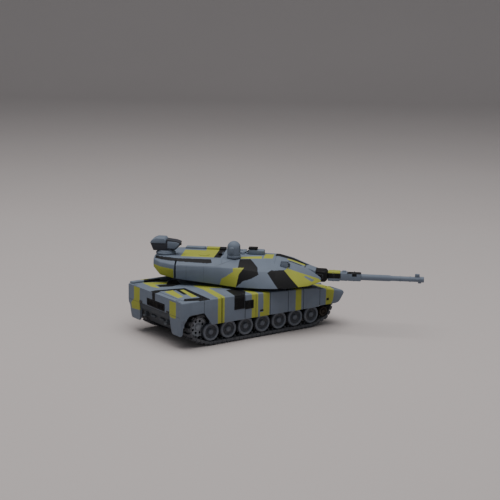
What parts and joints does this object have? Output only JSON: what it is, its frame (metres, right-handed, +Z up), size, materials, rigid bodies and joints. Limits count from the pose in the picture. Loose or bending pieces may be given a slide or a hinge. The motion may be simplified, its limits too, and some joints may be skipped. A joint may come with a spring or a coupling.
{
  "type": "radio-controlled tank",
  "caption": "Small radio-controlled battle tank with a traversing wedge turret, elevating gun, dished road wheels in rubber tracks, thick side skirts and a rotating roof sight",
  "frame": {"origin": "on the outer face of the belly plate, on the hull's centreline, under the axis that the turret turns on", "axes": "+X runs from the rear plate to the nose, +Y to the vehicle's left, +Z up; the tracks stand on z = -6 mm"},
  "size_m": [0.1349, 0.1138, 0.0508],
  "materials": {
    "body_plastic": "matt painted moulded plastic, grey-blue with lime and near-black camouflage",
    "track_rubber": "soft dark band rubber",
    "dark_plastic": "black moulded plastic",
    "steel": "plain steel"
  },
  "bodies": {
    "chassis": {"lower_hull": "body_plastic", "upper_hull": "body_plastic", "battery_door": "body_plastic", "engine_cover": "body_plastic", "exhaust_grille": "dark_plastic", "rear_mudguard_left": "body_plastic", "rear_mudguard_right": "body_plastic", "side_skirt_left": "body_plastic", "side_skirt_right": "body_plastic", "front_mudguard_left": "body_plastic", "front_mudguard_right": "body_plastic", "battery": "dark_plastic", "control_board": "dark_plastic", "charging_socket": "dark_plastic", "drive_motor_left": "steel", "drive_motor_right": "steel", "traverse_motor": "steel", "track_left": "track_rubber", "track_right": "track_rubber", "hull_screw_1": "steel", "hull_screw_2": "steel", "hull_screw_3": "steel", "hull_screw_4": "steel"},
    "power_switch": {"power_switch": "dark_plastic"},
    "sprocket_left": {"sprocket_left": "body_plastic", "drive_axle_left": "steel"},
    "road_wheel_left_1": {"road_wheel_left_1": "body_plastic"},
    "road_wheel_left_2": {"road_wheel_left_2": "body_plastic"},
    "road_wheel_left_3": {"road_wheel_left_3": "body_plastic"},
    "road_wheel_left_4": {"road_wheel_left_4": "body_plastic"},
    "road_wheel_left_5": {"road_wheel_left_5": "body_plastic"},
    "road_wheel_left_6": {"road_wheel_left_6": "body_plastic"},
    "road_wheel_left_7": {"road_wheel_left_7": "body_plastic"},
    "idler_left": {"idler_left": "body_plastic"},
    "motor_pinion_left": {"motor_pinion_left": "steel"},
    "sprocket_right": {"sprocket_right": "body_plastic", "drive_axle_right": "steel"},
    "road_wheel_right_1": {"road_wheel_right_1": "body_plastic"},
    "road_wheel_right_2": {"road_wheel_right_2": "body_plastic"},
    "road_wheel_right_3": {"road_wheel_right_3": "body_plastic"},
    "road_wheel_right_4": {"road_wheel_right_4": "body_plastic"},
    "road_wheel_right_5": {"road_wheel_right_5": "body_plastic"},
    "road_wheel_right_6": {"road_wheel_right_6": "body_plastic"},
    "road_wheel_right_7": {"road_wheel_right_7": "body_plastic"},
    "idler_right": {"idler_right": "body_plastic"},
    "motor_pinion_right": {"motor_pinion_right": "steel"},
    "turret": {"turret_base": "body_plastic", "turret_shell": "body_plastic", "gunner_sight": "body_plastic", "roof_sight": "body_plastic"},
    "traverse_pinion": {"traverse_pinion": "steel"},
    "panoramic_sight": {"panoramic_sight": "body_plastic"},
    "weapon_station": {"weapon_station_base": "body_plastic", "weapon_station_head": "body_plastic"},
    "commander_hatch": {"commander_hatch": "body_plastic"},
    "gun": {"gun_mantlet": "body_plastic", "gun_shroud": "body_plastic", "gun_barrel": "body_plastic", "muzzle_sensor": "body_plastic"}
  },
  "joints": [
    {"name": "power_switch_slide", "type": "slide", "parent": "chassis", "child": "power_switch", "axis": [1, 0, 0], "range_m": [0, 0.0025]},
    {"name": "sprocket_left_spin", "type": "hinge", "parent": "chassis", "child": "sprocket_left", "pos_m": [-0.0456, 0.02, 0.0045], "axis": [0, 1, 0], "continuous": true},
    {"name": "road_wheel_left_1_spin", "type": "hinge", "parent": "chassis", "child": "road_wheel_left_1", "pos_m": [-0.039, 0.0239, 0.0015], "axis": [0, 1, 0], "continuous": true},
    {"name": "road_wheel_left_2_spin", "type": "hinge", "parent": "chassis", "child": "road_wheel_left_2", "pos_m": [-0.02755, 0.0239, 0.0015], "axis": [0, 1, 0], "continuous": true},
    {"name": "road_wheel_left_3_spin", "type": "hinge", "parent": "chassis", "child": "road_wheel_left_3", "pos_m": [-0.0161, 0.0239, 0.0015], "axis": [0, 1, 0], "continuous": true},
    {"name": "road_wheel_left_4_spin", "type": "hinge", "parent": "chassis", "child": "road_wheel_left_4", "pos_m": [-0.00465, 0.0239, 0.0015], "axis": [0, 1, 0], "continuous": true},
    {"name": "road_wheel_left_5_spin", "type": "hinge", "parent": "chassis", "child": "road_wheel_left_5", "pos_m": [0.0068, 0.0239, 0.0015], "axis": [0, 1, 0], "continuous": true},
    {"name": "road_wheel_left_6_spin", "type": "hinge", "parent": "chassis", "child": "road_wheel_left_6", "pos_m": [0.01825, 0.0239, 0.0015], "axis": [0, 1, 0], "continuous": true},
    {"name": "road_wheel_left_7_spin", "type": "hinge", "parent": "chassis", "child": "road_wheel_left_7", "pos_m": [0.0297, 0.0239, 0.0015], "axis": [0, 1, 0], "continuous": true},
    {"name": "idler_left_spin", "type": "hinge", "parent": "chassis", "child": "idler_left", "pos_m": [0.0386, 0.0239, 0.0023], "axis": [0, 1, 0], "continuous": true},
    {"name": "motor_pinion_left_spin", "type": "hinge", "parent": "chassis", "child": "motor_pinion_left", "pos_m": [-0.04147, 0.014, 0.0045], "axis": [0, 1, 0], "continuous": true},
    {"name": "sprocket_right_spin", "type": "hinge", "parent": "chassis", "child": "sprocket_right", "pos_m": [-0.0456, -0.02, 0.0045], "axis": [0, 1, 0], "continuous": true},
    {"name": "road_wheel_right_1_spin", "type": "hinge", "parent": "chassis", "child": "road_wheel_right_1", "pos_m": [-0.039, -0.0239, 0.0015], "axis": [0, 1, 0], "continuous": true},
    {"name": "road_wheel_right_2_spin", "type": "hinge", "parent": "chassis", "child": "road_wheel_right_2", "pos_m": [-0.02755, -0.0239, 0.0015], "axis": [0, 1, 0], "continuous": true},
    {"name": "road_wheel_right_3_spin", "type": "hinge", "parent": "chassis", "child": "road_wheel_right_3", "pos_m": [-0.0161, -0.0239, 0.0015], "axis": [0, 1, 0], "continuous": true},
    {"name": "road_wheel_right_4_spin", "type": "hinge", "parent": "chassis", "child": "road_wheel_right_4", "pos_m": [-0.00465, -0.0239, 0.0015], "axis": [0, 1, 0], "continuous": true},
    {"name": "road_wheel_right_5_spin", "type": "hinge", "parent": "chassis", "child": "road_wheel_right_5", "pos_m": [0.0068, -0.0239, 0.0015], "axis": [0, 1, 0], "continuous": true},
    {"name": "road_wheel_right_6_spin", "type": "hinge", "parent": "chassis", "child": "road_wheel_right_6", "pos_m": [0.01825, -0.0239, 0.0015], "axis": [0, 1, 0], "continuous": true},
    {"name": "road_wheel_right_7_spin", "type": "hinge", "parent": "chassis", "child": "road_wheel_right_7", "pos_m": [0.0297, -0.0239, 0.0015], "axis": [0, 1, 0], "continuous": true},
    {"name": "idler_right_spin", "type": "hinge", "parent": "chassis", "child": "idler_right", "pos_m": [0.0386, -0.0239, 0.0023], "axis": [0, 1, 0], "continuous": true},
    {"name": "motor_pinion_right_spin", "type": "hinge", "parent": "chassis", "child": "motor_pinion_right", "pos_m": [-0.04147, -0.014, 0.0045], "axis": [0, 1, 0], "continuous": true},
    {"name": "turret_traverse", "type": "hinge", "parent": "chassis", "child": "turret", "pos_m": [0, 0, 0.02], "axis": [0, 0, 1], "range_deg": [-117, 203]},
    {"name": "traverse_pinion_spin", "type": "hinge", "parent": "chassis", "child": "traverse_pinion", "pos_m": [-0.01013, 0, 0.0145], "axis": [0, 0, 1], "continuous": true},
    {"name": "panoramic_sight_turn", "type": "hinge", "parent": "turret", "child": "panoramic_sight", "pos_m": [-0.00983, -0.00424, 0.038], "axis": [0, 0, 1], "continuous": true},
    {"name": "weapon_station_turn", "type": "hinge", "parent": "turret", "child": "weapon_station", "pos_m": [-0.03525, 0.02672, 0.038], "axis": [0, 0, 1], "range_deg": [-170, 170]},
    {"name": "commander_hatch_hinge", "type": "hinge", "parent": "turret", "child": "commander_hatch", "pos_m": [-0.00047, 0.00932, 0.0359], "axis": [-0.682, -0.7314, 0], "range_deg": [0, 95]},
    {"name": "gun_elevation", "type": "hinge", "parent": "turret", "child": "gun", "pos_m": [0.02633, -0.02455, 0.025], "axis": [-0.682, -0.7314, 0], "range_deg": [-3, 12]}
  ],
  "couplings": [
    {"joint": "road_wheel_left_1_spin", "follows": "sprocket_left_spin", "ratio": 0.9623},
    {"joint": "road_wheel_left_2_spin", "follows": "sprocket_left_spin", "ratio": 0.9623},
    {"joint": "road_wheel_left_3_spin", "follows": "sprocket_left_spin", "ratio": 0.9623},
    {"joint": "road_wheel_left_4_spin", "follows": "sprocket_left_spin", "ratio": 0.9623},
    {"joint": "road_wheel_left_5_spin", "follows": "sprocket_left_spin", "ratio": 0.9623},
    {"joint": "road_wheel_left_6_spin", "follows": "sprocket_left_spin", "ratio": 0.9623},
    {"joint": "road_wheel_left_7_spin", "follows": "sprocket_left_spin", "ratio": 0.9623},
    {"joint": "idler_left_spin", "follows": "sprocket_left_spin", "ratio": 1.4167},
    {"joint": "motor_pinion_left_spin", "follows": "sprocket_left_spin", "ratio": -2.6667},
    {"joint": "road_wheel_right_1_spin", "follows": "sprocket_right_spin", "ratio": 0.9623},
    {"joint": "road_wheel_right_2_spin", "follows": "sprocket_right_spin", "ratio": 0.9623},
    {"joint": "road_wheel_right_3_spin", "follows": "sprocket_right_spin", "ratio": 0.9623},
    {"joint": "road_wheel_right_4_spin", "follows": "sprocket_right_spin", "ratio": 0.9623},
    {"joint": "road_wheel_right_5_spin", "follows": "sprocket_right_spin", "ratio": 0.9623},
    {"joint": "road_wheel_right_6_spin", "follows": "sprocket_right_spin", "ratio": 0.9623},
    {"joint": "road_wheel_right_7_spin", "follows": "sprocket_right_spin", "ratio": 0.9623},
    {"joint": "idler_right_spin", "follows": "sprocket_right_spin", "ratio": 1.4167},
    {"joint": "motor_pinion_right_spin", "follows": "sprocket_right_spin", "ratio": -2.6667},
    {"joint": "traverse_pinion_spin", "follows": "turret_traverse", "ratio": -8}
  ]
}
